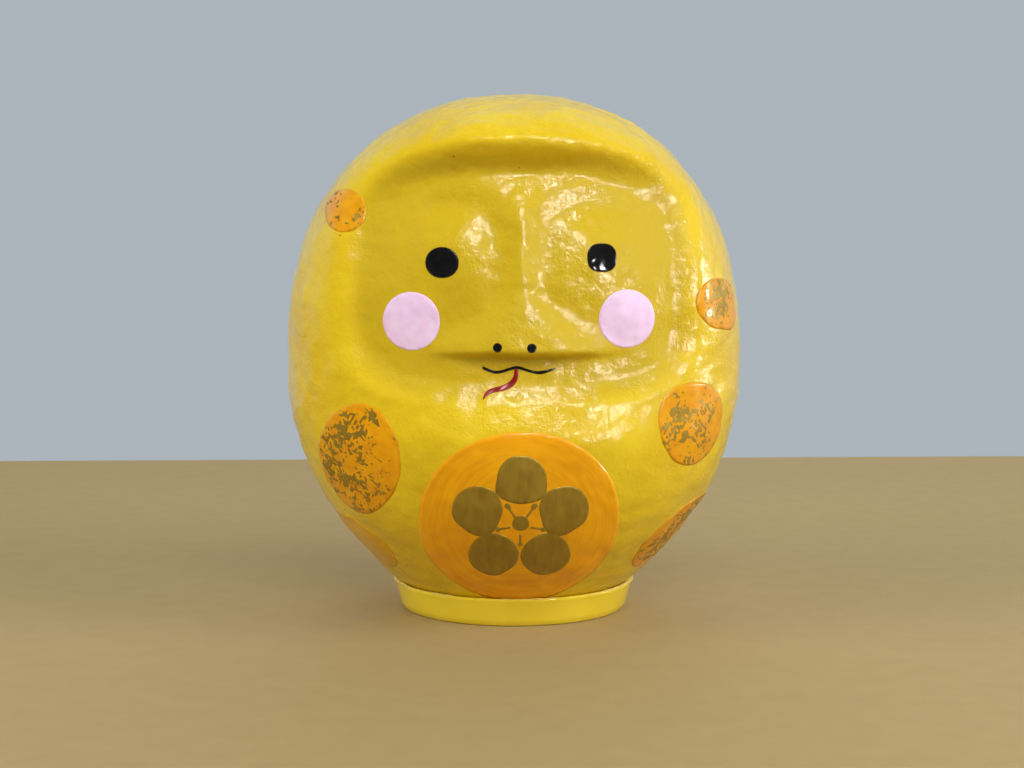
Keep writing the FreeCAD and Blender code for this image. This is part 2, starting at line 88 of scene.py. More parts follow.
# The face, sunk into the front.
FACE_Z, FACE_HALF_WIDTH, FACE_RISE, FACE_DROP = 127.5, 60.5, 45.5, 36.7
FACE_TOP_POWER, FACE_BOTTOM_POWER = 3.0, 4.5  # squareness of its outline
FACE_FLOOR_SHARE, FACE_RIM_SHARE, FACE_HOOD_SHARE = 0.87, 1.13, 1.20  # where its walls start and end
FACE_DEPTH_SIDE, FACE_DEPTH_TOP, FACE_DEPTH_BOTTOM, FACE_BULGE = 9.0, 16.5, 6.0, 1.0
FACE_SHADE = {"lift": 4.0, "half_width": 61.0, "half_height": 45.0}  # where the face is painted darker, as shade in the sunken face
COLLAR = {"low": 73.0, "full": 90.0, "fade": 125.0, "depth": 4.0, "width": 55.8}
EYE_X, EYE_Z = 24.6, 139.5  # centre of each eye mound
EYE_MOUND = {"height": 1.8, "width": 11.5}
EYE_GROOVE = {"depth": 1.8, "radius": 17.5, "width": 7.5, "lean": 0.6, "from": -0.5, "full": 0.8}
BROW = {"height": 1.3, "radius": 27, "width": 8, "rise": 18}
NOSE_Z = 104.0  # level of the snout's lower edge
NOSE = {"height": 2.8, "width": 6.0, "power": 1.8, "fade": 150, "end": 172}
SNOUT = {"height": 4.4, "width": 20.0, "power": 2.2, "rise": 24, "edge": 1.5}  # added to the nose
CHEEK_SWELL = {"x": 41, "z": 116, "height": 1.8, "width": 13}
LIPS = {"z": 93, "height": 2.0, "half_width": 30, "half_height": 8}

# The pulp's unevenness: height and size of each layer of lumps, then the creases and the crown's wrinkles.
PULP_LAYERS = [(0.45, 26.0), (0.36, 13.0), (0.32, 6.5), (0.20, 3.1)]
CREASES = {"depth": 0.14, "size": 11.0, "half_width": 0.07, "patch": 23.0, "full": 0.4}
WRINKLES = {"height": 0.15, "size": 3.6, "stretch": 0.28, "from": 178, "full": 190}

# How finely the shell is divided: rings and columns outside, rings inside, crowding towards the face.
ROWS, COLUMNS, INNER_ROWS = 288, 304, 24
FRONT_CROWDING = 0.55

# Paint films, in millimetres.
FILM_THICKNESS, FILM_ROOT, EDGE_RISE = 0.13, 0.12, 0.25  # above the skin, below it, and the edge's rounding
LINE_THICKNESS, GOLD_THICKNESS, GOLD_BASE = 0.16, 0.10, 0.12
SPONGED_TOP, SPONGED_ROOT, SPONGE_STEP, SPONGE_EDGE = 0.20, 0.08, 0.24, 0.4
FRONT_REACH, SIDE_REACH = 60.0, 14.0  # how far out a ray starts on its way to the skin


# ---- shape of the shell ----------------------------------------------------------------------------
def smoothstep(low, high, value):
    share = np.clip((value - low) / (high - low), 0.0, 1.0)
    return share * share * (3 - 2 * share)


def bell(value, width):
    return np.exp(-((value / width) ** 2))


def dome(share, powers):
    return np.maximum(0.0, 1 - np.clip(share, 0.0, 1.0) ** powers[0]) ** (1 / powers[1])


def half_width(z):
    crown = dome((z - WIDEST_Z) / (HEIGHT - WIDEST_Z), CROWN_POWERS)
    taper = dome((WIDEST_Z - z) / (WIDEST_Z - TAPER_END_Z), TAPER_POWERS)
    return HALF_WIDTH * np.where(z >= WIDEST_Z, crown, taper)


def front_depth(z):
    hood = dome((z - BELLY_Z) / (HEIGHT - BELLY_Z), HOOD_POWERS)
    taper = dome((BELLY_Z - z) / (BELLY_Z - TAPER_END_Z), TAPER_POWERS)
    full = BELLY_DEPTH * np.where(z >= BELLY_Z, hood, taper)
    return half_width(z) + (full - half_width(z)) * smoothstep(ROUND_Z, DEEP_FRONT_Z, z)


def back_depth(z):
    return half_width(z) * (1 - (1 - BACK_SHARE) * smoothstep(ROUND_Z, SHALLOW_BACK_Z, z))


def section_power(z, full):
    return 2 + (full - 2) * smoothstep(ROUND_Z, SQUARE_Z, z)


def eye_socket(x, z):
    """Groove round each eye mound, deepest above it and towards the nose."""
    dx, dz = np.abs(x) - EYE_X, z - EYE_Z
    reach = np.hypot(dx, dz)
    towards = (dz - EYE_GROOVE["lean"] * dx) / np.maximum(reach, 1.0)
    above = smoothstep(EYE_GROOVE["from"], EYE_GROOVE["full"], towards)
    groove = EYE_GROOVE["depth"] * above * bell(reach - EYE_GROOVE["radius"], EYE_GROOVE["width"])
    return groove - EYE_MOUND["height"] * bell(reach, EYE_MOUND["width"])


def snout_ridge(side, z):
    """The nose's narrow ridge, which flares into the snout and stops short at its lower edge."""
    flare = 1 - smoothstep(0, SNOUT["rise"], z - NOSE_Z)
    width = NOSE["width"] + SNOUT["width"] * flare
    power = NOSE["power"] + SNOUT["power"] * flare
    ridge = (NOSE["height"] + SNOUT["height"] * flare) * np.exp(-((side / width) ** power))
    below = smoothstep(-SNOUT["edge"], SNOUT["edge"], z - NOSE_Z)
    return ridge * below * (1 - smoothstep(NOSE["fade"], NOSE["end"], z))


def face_ridges(x, z):
    """Brows, snout, cheeks and lips, all standing out of the face."""
    side = np.abs(x)
    brow = BROW["height"] * bell(np.hypot(side - EYE_X, z - EYE_Z) - BROW["radius"], BROW["width"])
    brow = brow * smoothstep(0, BROW["rise"], z - EYE_Z)
    swell = CHEEK_SWELL["height"] * bell(side - CHEEK_SWELL["x"], CHEEK_SWELL["width"])
    swell = swell * bell(z - CHEEK_SWELL["z"], CHEEK_SWELL["width"])
    lips = LIPS["height"] * bell(side, LIPS["half_width"]) * bell(z - LIPS["z"], LIPS["half_height"])
    return brow + snout_ridge(side, z) + swell + lips


def collar_depth(x, z):
    full = COLLAR["depth"] * smoothstep(COLLAR["low"], COLLAR["full"], z)
    return full * (1 - smoothstep(COLLAR["full"], COLLAR["fade"], z)) * bell(x, COLLAR["width"])


def face_relief(x, z):
    """How far the face and the collar under it lie behind the hood's outline."""
    across = np.abs(x) / FACE_HALF_WIDTH
    up = (z - FACE_Z) / np.where(z > FACE_Z, FACE_RISE, FACE_DROP)
    power = np.where(z > FACE_Z, FACE_TOP_POWER, FACE_BOTTOM_POWER)
    ring = (across**power + np.abs(up) ** power) ** (1 / power)
    rim = FACE_RIM_SHARE + (FACE_HOOD_SHARE - FACE_RIM_SHARE) * smoothstep(0.2, 0.9, up)
    inside = 1 - smoothstep(FACE_FLOOR_SHARE, rim, ring)
    depth = FACE_DEPTH_SIDE + (FACE_DEPTH_TOP - FACE_DEPTH_SIDE) * smoothstep(0.0, 1.0, up)
    depth = depth + (FACE_DEPTH_BOTTOM - FACE_DEPTH_SIDE) * smoothstep(0.3, 1.0, -up)
    bulge = FACE_BULGE * np.maximum(0.0, 1 - across**2) * np.maximum(0.0, 1 - up**2)
    return collar_depth(x, z) + inside * (depth - bulge + eye_socket(x, z) - face_ridges(x, z))


def skin_points(angle, z):
    """Points of the shell's outer surface at bearings about the axis, anticlockwise from +X."""
    front = np.sin(angle) < 0
    power = np.where(front, section_power(z, FRONT_POWER), section_power(z, BACK_POWER))
    depth = np.where(front, front_depth(z), back_depth(z))
    across = np.abs(np.cos(angle)) / np.maximum(half_width(z), 1e-9)
    along = np.abs(np.sin(angle)) / np.maximum(depth, 1e-9)
    reach = (across**power + along**power) ** (-1 / power)
    x, y = reach * np.cos(angle), reach * np.sin(angle)
    return np.stack([x, y + np.where(front, face_relief(x, z), 0.0), z], axis=-1)


def lattice_noise(points, size, seed):
    """Smooth noise from -1 to 1, blended between random values on a lattice of the given size."""
    count = 40
    table = np.random.default_rng(seed).uniform(-1, 1, (count, count, count))
    turn = np.array([[0.80, 0.36, -0.48], [-0.60, 0.48, -0.64], [0.0, 0.8, 0.6]])
    cell = points @ turn / size + seed
    low = np.floor(cell).astype(int)
    part = cell - low
    part = part * part * part * (part * (part * 6 - 15) + 10)
    total = np.zeros(points.shape[:-1])
    for corner in range(8):
        step = np.array([corner & 1, corner >> 1 & 1, corner >> 2 & 1])
        weight = np.prod(np.where(step == 1, part, 1 - part), axis=-1)
        index = (low + step) % count
        total += weight * table[index[..., 0], index[..., 1], index[..., 2]]
    return total


def pulp_lumps(points):
    """Height of the hand-laid pulp's unevenness, in millimetres."""
    lumps = 0.0
    for layer, (height, size) in enumerate(PULP_LAYERS):
        lumps = lumps + height * lattice_noise(points, size, SEED + layer)
    lines = bell(lattice_noise(points, CREASES["size"], SEED + 10), CREASES["half_width"])
    creases = lines * smoothstep(0.0, CREASES["full"], lattice_noise(points, CREASES["patch"], SEED + 11))
    stretched = points * np.array([WRINKLES["stretch"], 1.0, 1.0])
    wrinkles = lattice_noise(stretched, WRINKLES["size"], SEED + 12)
    wrinkles = wrinkles * smoothstep(WRINKLES["from"], WRINKLES["full"], points[..., 2])
    lumps = lumps - CREASES["depth"] * creases + WRINKLES["height"] * wrinkles
    return lumps * smoothstep(FOOT_HEIGHT - 1, FOOT_HEIGHT + 6, points[..., 2])


def grid_normals(points):
    """Outward normals of a grid of points with rings as rows."""
    round_it = np.roll(points, -1, axis=1) - np.roll(points, 1, axis=1)
    up = np.gradient(points, axis=0)
    normals = np.cross(round_it, up)
    return normals / np.maximum(np.linalg.norm(normals, axis=-1, keepdims=True), 1e-12)


def skin_grid(rows):
    """Rings of points up the shell, without the crown's own point."""
    turn = 2 * np.pi * np.arange(COLUMNS) / COLUMNS
    angle = np.pi / 2 + turn + FRONT_CROWDING * np.sin(turn)
    z = SEAT_Z + (HEIGHT - SEAT_Z) * np.sin(np.pi / 2 * np.arange(rows) / rows)
    return skin_points(*np.meshgrid(angle, z))


def ring_faces(rows, columns, start=0, flip=False):
    faces = []
    for row in range(rows - 1):
        for column in range(columns):
            after = (column + 1) % columns
            low, high = start + row * columns, start + (row + 1) * columns
            quad = (low + column, low + after, high + after, high + column)
            faces.append(quad[::-1] if flip else quad)
    return faces


def cap_faces(ring_start, columns, tip, flip=False):
    faces = []
    for column in range(columns):
        triangle = (ring_start + column, ring_start + (column + 1) % columns, tip)
        faces.append(triangle[::-1] if flip else triangle)
    return faces


# ---- making pieces ---------------------------------------------------------------------------------
def make_piece(name, points, faces, slot, node):
    """A smooth mesh piece, given in millimetres, that stands for a design node."""
    mesh = bpy.data.meshes.new(name)
    mesh.from_pydata((np.asarray(points) * MM).tolist(), [], faces)
    mesh.update()
    mesh.polygons.foreach_set("use_smooth", [True] * len(mesh.polygons))
    piece = bpy.data.objects.new(name, mesh)
    bpy.context.collection.objects.link(piece)
    mesh.materials.append(MATERIALS[slot])
    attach(piece, "root")
    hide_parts(node)


def make_shell():
    """The hollow shell. Gives back its outer surface, for the paint to be laid on."""
    skin = skin_grid(ROWS)
    skin = skin + grid_normals(skin) * pulp_lumps(skin)[..., None]
    inner = skin_grid(INNER_ROWS)
    inner = inner - grid_normals(inner) * WALL
    crown, inner_crown = [[0, 0, HEIGHT + 0.1]], [[0, 0, HEIGHT - WALL]]
    outer_count, inner_start = ROWS * COLUMNS, ROWS * COLUMNS + 1
    points = np.concatenate([skin.reshape(-1, 3), crown, inner.reshape(-1, 3), inner_crown])
    outer_faces = ring_faces(ROWS, COLUMNS)
    outer_faces += cap_faces((ROWS - 1) * COLUMNS, COLUMNS, outer_count)
    faces = outer_faces + ring_faces(INNER_ROWS, COLUMNS, inner_start, flip=True)
    last_ring = inner_start + (INNER_ROWS - 1) * COLUMNS
    faces += cap_faces(last_ring, COLUMNS, len(points) - 1, flip=True)
    for column in range(COLUMNS):
        after = (column + 1) % COLUMNS
        faces.append((after, column, inner_start + column, inner_start + after))
    make_piece("shell", points, faces, "yellow_lacquer", "paper_shell")
    return BVHTree.FromPolygons(points[: outer_count + 1].tolist(), outer_faces)


def lathe(profile, segments, wobble):
    """Closed ring of a closed (radius, z) profile. wobble(radius, z, angle) gives moved radius and z."""
    points, count = [], len(profile)
    for segment in range(segments):
        angle = 2 * math.pi * segment / segments
        for radius, z in profile:
            moved_radius, moved_z = wobble(radius, z, angle)
            points.append((moved_radius * math.cos(angle), moved_radius * math.sin(angle), moved_z))
    faces = []
    for segment in range(segments):
        here, there = segment * count, (segment + 1) % segments * count
        for corner in range(count):
            after = (corner + 1) % count
            faces.append((here + corner, there + corner, there + after, here + after))
    return points, faces


# ---- paint films -----------------------------------------------------------------------------------
class Place:
    """A flat frame on the shell: a centre, the way out, and the across and up directions."""

    def __init__(self, centre, out, reach):
        self.centre, self.out, self.reach = Vector(centre), Vector(out).normalized(), reach
        self.across = Vector((0, 0, 1)).cross(self.out).normalized()
        self.up = self.out.cross(self.across)

    def on_skin(self, skin, point):
        start = self.centre + self.across * point[0] + self.up * point[1] + self.out * self.reach
        hit, normal, _, _ = skin.ray_cast(start, -self.out)
        return hit, normal

    def flat(self, points):
        """Across and up shares of 3D points, in this frame."""
        offset = np.asarray(points) - np.array(self.centre)
        return np.stack([offset @ np.array(self.across), offset @ np.array(self.up)], axis=-1)


def inside_any(points, outlines):
    """Which points lie inside the closed outlines, by crossings."""
    inside = np.zeros(len(points), bool)
    for outline in outlines:
        for start, end in zip(outline, np.roll(outline, -1, axis=0)):
            straddles = (start[1] > points[:, 1]) != (end[1] > points[:, 1])
            slope = (end[0] - start[0]) / (end[1] - start[1] if end[1] != start[1] else 1e-12)
            inside ^= straddles & (points[:, 0] < start[0] + slope * (points[:, 1] - start[1]))
    return inside


def edge_distance(points, outlines):
    best = np.full(len(points), 1e9)
    for outline in outlines:
        for start, end in zip(outline, np.roll(outline, -1, axis=0)):
            along = end - start
            share = np.clip((points - start) @ along / max(along @ along, 1e-12), 0, 1)
            best = np.minimum(best, np.linalg.norm(points - start - share[:, None] * along, axis=1))
    return best


def fill_outlines(outlines, grain):
    """Triangles inside closed outlines, with points about a grain apart."""
    low = np.min([outline.min(0) for outline in outlines], axis=0)
    high = np.max([outline.max(0) for outline in outlines], axis=0)
    across, up = np.meshgrid(np.arange(low[0], high[0], grain), np.arange(low[1], high[1], grain * 0.87))
    across[1::2] += grain / 2
    spread = np.stack([across.ravel(), up.ravel()], axis=-1)
    spread = spread[inside_any(spread, outlines)]
    spread = spread[edge_distance(spread, outlines) > grain * 0.45]
    points, edges = [], []
    for outline in outlines:
        start, count = len(points), len(outline)
        points += outline.tolist()
        edges += [(start + step, start + (step + 1) % count) for step in range(count)]
    points += spread.tolist()
    points, _, triangles, _, _, _ = delaunay_2d_cdt([Vector(p) for p in points], edges, [], 1, 1e-6)
    return np.array([tuple(point) for point in points]), [tuple(face) for face in triangles]


def wrap_film(flat_points, triangles, place, skin, heights, floor):
    """Closed thin solid that follows the skin: tops at the given heights, underside at the floor."""
    tops, bottoms = [], []
    for point, height in zip(flat_points, heights):
        hit, normal = place.on_skin(skin, point)
        tops.append(hit + normal * height)
        bottoms.append(hit + normal * floor)
    count, seen = len(tops), {}
    for face in triangles:
        for start, end in zip(face, face[1:] + face[:1]):
            seen[(start, end)] = True
    faces = list(triangles) + [tuple(corner + count for corner in face[::-1]) for face in triangles]
    for start, end in seen:
        if (end, start) not in seen:
            faces.append((end, start, start + count, end + count))
    return [tuple(point) for point in tops + bottoms], faces


def film(node, slot, place, skin, outlines, grain, thickness=FILM_THICKNESS, base=0.0):
    """A coat of paint inside closed outlines, rounded off at its edge and a little thicker just inside it."""
    outlines = [np.asarray(outline) for outline in outlines]
    flat_points, triangles = fill_outlines(outlines, grain)
    reach = edge_distance(flat_points, outlines)
    heights = base + thickness * (0.3 + 0.7 * (1 - np.exp(-reach / EDGE_RISE)))
    heights = heights + 0.03 * bell(reach - 0.5, 0.3)
    points, faces = wrap_film(flat_points, triangles, place, skin, heights, base - FILM_ROOT)
    make_piece(node, points, faces, slot, node)


def node_points(node):
    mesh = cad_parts[node].data
    points = np.zeros(len(mesh.vertices) * 3)
    mesh.vertices.foreach_get("co", points)
    return points.reshape(-1, 3) / MM


def node_place(node):
    """Frame on the skin at a design film: its mean place, facing the way its points spread least."""
    points = node_points(node)
    centre = (points.min(0) + points.max(0)) / 2
    _, _, axes = np.linalg.svd(points - points.mean(0), full_matrices=False)
    out = axes[2] if axes[2] @ centre > 0 else -axes[2]
    return Place(centre, out, SIDE_REACH)


def front_place(centre):
    return Place(centre, (0, -1, 0), FRONT_REACH)


def hull_outline(points, place, count, waver=0.0, seed=0, waves=9):
    """Rounded outline of a design film's points in a flat frame, with a brush's own waver added."""
    flat = place.flat(points)
    hull = flat[convex_hull_2d([Vector(p) for p in flat])]
    middle = (hull.min(0) + hull.max(0)) / 2
    arms = hull - middle
    angle = np.arctan2(arms[:, 1], arms[:, 0])
    order = np.argsort(angle)
    wanted = np.linspace(-np.pi, np.pi, count, endpoint=False)
    reach = np.interp(wanted, angle[order], np.hypot(*arms[order].T), period=2 * np.pi)
    spectrum = np.fft.rfft(reach)
    spectrum[waves:] = 0
    reach = np.fft.irfft(spectrum, count)
    random = np.random.default_rng(seed)
    for wave in range(3, 14):
        reach = reach * (1 + waver / wave * random.normal() * np.sin(wave * wanted + random.uniform(0, 6.3)))
    return np.stack([middle[0] + reach * np.cos(wanted), middle[1] + reach * np.sin(wanted)], axis=-1)


def stroke_outline(spine, widths, steps):
    """Outline of a brush line along a smooth spine with rounded ends."""
    spine, widths = np.asarray(spine, float), np.asarray(widths, float)
    place = np.linspace(0, 1, len(spine))
    share = np.linspace(0, 1, steps)
    line = np.stack([smooth_through(place, spine[:, axis], share) for axis in (0, 1)], axis=-1)
    half = smooth_through(place, widths, share) / 2
    along = np.gradient(line, axis=0)
    along /= np.linalg.norm(along, axis=1, keepdims=True)
    aside = np.stack([-along[:, 1], along[:, 0]], axis=-1) * half[:, None]
    end_cap = round_cap(line[-1], along[-1], half[-1])
    start_cap = round_cap(line[0], -along[0], half[0])
    return np.concatenate([line - aside, end_cap, (line + aside)[::-1], start_cap])


def round_cap(centre, along, radius):
    aside = np.array([along[1], -along[0]])
    turns = np.linspace(0, np.pi, 8)[1:-1, None]
    return centre + radius * (np.cos(turns) * aside + np.sin(turns) * along)


def smooth_through(places, values, wanted):
    """Natural cubic spline through values at places."""
    count = len(places)
    gap = np.diff(places)
    matrix, right = np.eye(count), np.zeros(count)
    for row in range(1, count - 1):
        matrix[row, row - 1 : row + 2] = gap[row - 1], 2 * (gap[row - 1] + gap[row]), gap[row]
        slopes = np.diff(values[row - 1 : row + 2]) / gap[row - 1 : row + 1]
        right[row] = 6 * (slopes[1] - slopes[0])
    bend = np.linalg.solve(matrix, right)
    index = np.clip(np.searchsorted(places, wanted) - 1, 0, count - 2)
    step, width = wanted - places[index], gap[index]
    slope = (values[index + 1] - values[index]) / width
    slope -= width * (2 * bend[index] + bend[index + 1]) / 6
    cubic = (bend[index + 1] - bend[index]) / (6 * width)
    return values[index] + step * (slope + step * (bend[index] / 2 + step * cubic))


# ---- materials -------------------------------------------------------------------------------------
class Finish:
    """One material's nodes. Sockets take a number, a colour or another node's output."""

    def __init__(self, name):
        self.material = bpy.data.materials.new(name)
        self.material.use_nodes = True
        self.tree = self.material.node_tree
        self.shader = self.tree.nodes["Principled BSDF"]
        self.place = self.add("TexCoord").outputs["Object"]

    def add(self, kind, inputs=None, **settings):
        node = self.tree.nodes.new("ShaderNode" + kind)
        for name, value in settings.items():
            setattr(node, name, value)
        self.fill(node, inputs or {})
        return node

    def fill(self, node, inputs):
        for name, value in inputs.items():
            if isinstance(value, bpy.types.NodeSocket):
                self.tree.links.new(value, node.inputs[name])
            else:
                node.inputs[name].default_value = value

    def set(self, **inputs):
        self.fill(self.shader, {name.replace("_", " "): value for name, value in inputs.items()})

    def math(self, operation, *values):
        return self.add("Math", dict(enumerate(values)), operation=operation).outputs[0]

    def vector(self, operation, *values):
        node = self.add("VectorMath", dict(enumerate(values)), operation=operation)
        return node.outputs["Value" if operation == "LENGTH" else "Vector"]

    def noise(self, scale, detail=2.0, roughness=0.5, place=None, distortion=0.0):
        inputs = {"Vector": place or self.place, "Scale": scale, "Detail": detail}
        inputs.update({"Roughness": roughness, "Distortion": distortion})
        return self.add("TexNoise", inputs).outputs["Fac"]

    def between(self, value, low, high, start=0.0, end=1.0):
        """The value, with the range low to high spread over start to end and cut off outside it."""
        inputs = {"Value": value, "From Min": low, "From Max": high, "To Min": start, "To Max": end}
        return self.add("MapRange", inputs, interpolation_type="SMOOTHSTEP").outputs["Result"]

    def mix(self, share, first, second):
        node = self.add("Mix", {"Factor": share}, data_type="RGBA")
        for socket, value in zip([s for s in node.inputs if s.type == "RGBA"], (first, second)):
            if isinstance(value, bpy.types.NodeSocket):
                self.tree.links.new(value, socket)
            else:
                socket.default_value = (*value, 1.0)
        return next(s for s in node.outputs if s.type == "RGBA")

    def bump(self, height, depth, normal=None):
        """Relief of a given depth in millimetres."""
        inputs = {"Height": height, "Distance": depth * MM, "Strength": 1.0}
        if normal is not None:
            inputs["Normal"] = normal
        return self.add("Bump", inputs).outputs["Normal"]

    def stretched(self, x, y, z):
        return self.vector("MULTIPLY", self.place, (x, y, z))


def painted_face_shade(finish):
    """Share of a point's being in the sunken face, where a darker yellow is painted as the recess's shade."""
    arm = finish.vector("SUBTRACT", finish.place, (0.0, 0.0, (FACE_Z + FACE_SHADE["lift"]) * MM))
    half_width, half_height = FACE_SHADE["half_width"] * MM, FACE_SHADE["half_height"] * MM
    scaled = finish.vector("MULTIPLY", arm, (1 / half_width, 0.0, 1 / half_height))
    squared = finish.vector("MULTIPLY", scaled, scaled)
    near = finish.between(finish.vector("LENGTH", squared), 0.80, 1.06, 1.0, 0.0)
    depth = finish.add("SeparateXYZ", {0: finish.place}).outputs[1]
    return finish.math("MULTIPLY", near, finish.between(depth, -0.05, -0.03, 1.0, 0.0))


def specks(finish, scale, share, size):
    """Small round specks, in a share of the cells of a cell pattern."""
    cells = finish.add("TexVoronoi", {"Vector": finish.place, "Scale": scale})
    chance = finish.add("SeparateColor", {0: cells.outputs["Color"]}).outputs[0]
    chosen = finish.math("GREATER_THAN", chance, 1 - share)
    dot = finish.between(cells.outputs["Distance"], size * 0.4, size, 1.0, 0.0)
    return finish.math("MULTIPLY", dot, chosen)


def cloth_imprint(finish):
    """The mould cloth's weave, which shows through in patches."""
    patches = finish.between(finish.noise(26.0, 2.0), 0.42, 0.62)
    weave = finish.math("ADD", cloth_lines(finish, "X", 330.0), cloth_lines(finish, "Z", 350.0))
    return finish.math("MULTIPLY", weave, patches)


def lacquer(name, bright, deep, lumps, gloss, face=None):
    """Yellow lacquer over pulp: mottled, with the mould cloth's imprint, brush lines and specks, and, given a
    face colour, painted shade in the sunken face.
    """
    finish = Finish(name)
    clouds = finish.noise(38.0, 3.0)
    grain = finish.noise(420.0, 3.0, 0.6)
    colour = finish.mix(finish.between(clouds, 0.35, 0.68), bright, deep)
    # Painted shade: the sunken face gets a darker yellow, standing in for the shade in its recess.
    if face:
        colour = finish.mix(painted_face_shade(finish), colour, face)
    colour = finish.mix(finish.between(grain, 0.52, 0.75, 0.0, 0.22), colour, deep)
    speck = specks(finish, 170.0, share=0.08, size=0.10)
    colour = finish.mix(finish.math("MULTIPLY", speck, 0.7), colour, (0.14, 0.075, 0.01))
    brush = finish.noise(1.0, 3.0, 0.55, finish.stretched(60.0, 420.0, 420.0))
    normal = finish.bump(cloth_imprint(finish), 0.012)
    normal = finish.bump(brush, 0.06, normal)
    normal = finish.bump(finish.noise(620.0, 3.0, 0.6), lumps, normal)
    roughness = finish.between(clouds, 0.3, 0.7, gloss, gloss + 0.12)
    finish.set(Base_Color=colour, Roughness=roughness, Normal=normal)
    finish.set(Specular_IOR_Level=0.15, Coat_Weight=0.75, Coat_Roughness=0.08, Coat_Normal=normal)
    return finish.material


def cloth_lines(finish, way, scale):
    inputs = {"Vector": finish.place, "Scale": scale}
    inputs.update({"Distortion": 2.5, "Detail": 1.0, "Detail Scale": 1.5})
    return finish.add("TexWave", inputs, bands_direction=way).outputs["Fac"]


def poster_paint(name, bright, deep, gloss, coat):
    """Brushed paint whose colour and thickness vary along the brush's strokes."""
    finish = Finish(name)
    stroke = finish.noise(1.0, 3.0, 0.6, finish.stretched(300.0, 60.0, 300.0))
    fine = finish.noise(500.0, 3.0)
    colour = finish.mix(finish.between(stroke, 0.35, 0.68), bright, deep)
    normal = finish.bump(stroke, 0.05)
    normal = finish.bump(fine, 0.03, normal)
    roughness = finish.between(fine, 0.3, 0.7, gloss, gloss + 0.08)
    finish.set(Base_Color=colour, Roughness=roughness, Normal=normal)
    finish.set(Specular_IOR_Level=0.2, Coat_Weight=coat, Coat_Roughness=0.08, Coat_Normal=normal)
    return finish.material


def disc_paint(name, bright, deep, centre):
    """Orange brushed round and round, so that its streaks are rings."""
    finish = Finish(name)
    arm = finish.vector("SUBTRACT", finish.place, tuple(centre * MM))
    flat = finish.vector("MULTIPLY", arm, (1.0, 0.0, 1.0))
    radius = finish.vector("LENGTH", flat)
    way = finish.vector("MULTIPLY", finish.vector("NORMALIZE", flat), (1.6, 0.0, 1.6))
    parts = finish.add("SeparateXYZ", {0: way}).outputs
    out = finish.math("MULTIPLY", radius, 620.0)
    rings = finish.add("CombineXYZ", {0: parts[0], 1: out, 2: parts[2]}).outputs[0]
    streak = finish.noise(1.0, 3.0, 0.6, rings, 0.6)
    wide = finish.noise(45.0, 2.0)
    colour = finish.mix(finish.between(streak, 0.36, 0.66), bright, deep)
    colour = finish.mix(finish.between(wide, 0.45, 0.7, 0.0, 0.4), colour, deep)
    normal = finish.bump(streak, 0.06)
    normal = finish.bump(finish.noise(400.0, 3.0), 0.03, normal)
    finish.set(Base_Color=colour, Roughness=0.3, Normal=normal)
    finish.set(Specular_IOR_Level=0.2, Coat_Weight=0.4, Coat_Roughness=0.09, Coat_Normal=normal)
    return finish.material


def gold_paint(name, bright, deep):
    finish = Finish(name)
    stroke = finish.noise(1.0, 3.0, 0.6, finish.stretched(420.0, 70.0, 120.0))
    flakes = finish.noise(2600.0, 2.0)
    colour = finish.mix(finish.between(stroke, 0.35, 0.65), bright, deep)
    colour = finish.mix(finish.between(flakes, 0.55, 0.75, 0.0, 0.5), colour, bright)
    normal = finish.bump(stroke, 0.04)
    normal = finish.bump(flakes, 0.01, normal)
    roughness = finish.between(flakes, 0.3, 0.7, 0.38, 0.5)
    finish.set(Base_Color=colour, Metallic=0.45, Roughness=roughness, Normal=normal)
    return finish.material


def dried_paste(name, bright, deep):
    finish = Finish(name)
    lumps = finish.noise(380.0, 4.0, 0.65)
    finish.set(Base_Color=finish.mix(finish.between(lumps, 0.4, 0.7), bright, deep))
    finish.set(Roughness=0.45, Normal=finish.bump(lumps, 0.25), Coat_Weight=0.3, Coat_Roughness=0.2)
    return finish.material


# ---- the doll --------------------------------------------------------------------------------------
GOLD = gold_paint("gold_paint", (0.40, 0.27, 0.03), (0.33, 0.21, 0.02))
DISC_CENTRE = np.mean(box_mm("belly_disc"), axis=0)
# The third colour is painted shade: a darker yellow for the sunken face.
SHELL_TONES, FACE_SHADE_COLOUR = ((0.84, 0.60, 0.012), (0.78, 0.525, 0.007)), (0.66, 0.46, 0.011)
BLACK_TONES = (0.004, 0.004, 0.004), (0.009, 0.008, 0.008)

# Every slot's material. The colours are each finish's bright and deep tones.
MATERIALS = {
    "yellow_lacquer": lacquer("yellow_lacquer", *SHELL_TONES, lumps=0.28, gloss=0.36, face=FACE_SHADE_COLOUR),
    "yellow_foot": lacquer("foot_lacquer", (0.90, 0.68, 0.035), (0.85, 0.62, 0.025), lumps=0.04, gloss=0.34),
    "dried_clay": dried_paste("dried_clay", (0.34, 0.25, 0.17), (0.22, 0.15, 0.10)),
    "dried_glue": dried_paste("dried_glue", (0.84, 0.66, 0.16), (0.70, 0.48, 0.02)),
    "black_gloss": poster_paint("black_gloss", *BLACK_TONES, gloss=0.10, coat=0.5),
    "pink_paint": poster_paint("pink_paint", (0.94, 0.70, 0.98), (0.91, 0.63, 0.94), gloss=0.36, coat=0.15),
    "red_paint": poster_paint("red_paint", (0.36, 0.006, 0.004), (0.20, 0.003, 0.003), gloss=0.30, coat=0.3),
    "spot_orange": poster_paint("spot_orange", (0.86, 0.4, 0.001), (0.80, 0.32, 0.001), gloss=0.3, coat=0.35),
    "thin_orange": poster_paint("thin_orange", (0.78, 0.44, 0.006), (0.72, 0.38, 0.004), gloss=0.3, coat=0.5),
    "disc_orange": disc_paint("disc_orange", (0.97, 0.46, 0.001), (0.90, 0.375, 0.001), DISC_CENTRE),
    "gold_paint": GOLD,
    "sponged_gold": GOLD,
}


def corner_arc(centre_radius, centre_z, size, turns):
    """Points of a rounded corner of a profile, as radius and z."""
    return [(centre_radius + size * math.cos(turn), centre_z + size * math.sin(turn)) for turn in turns]


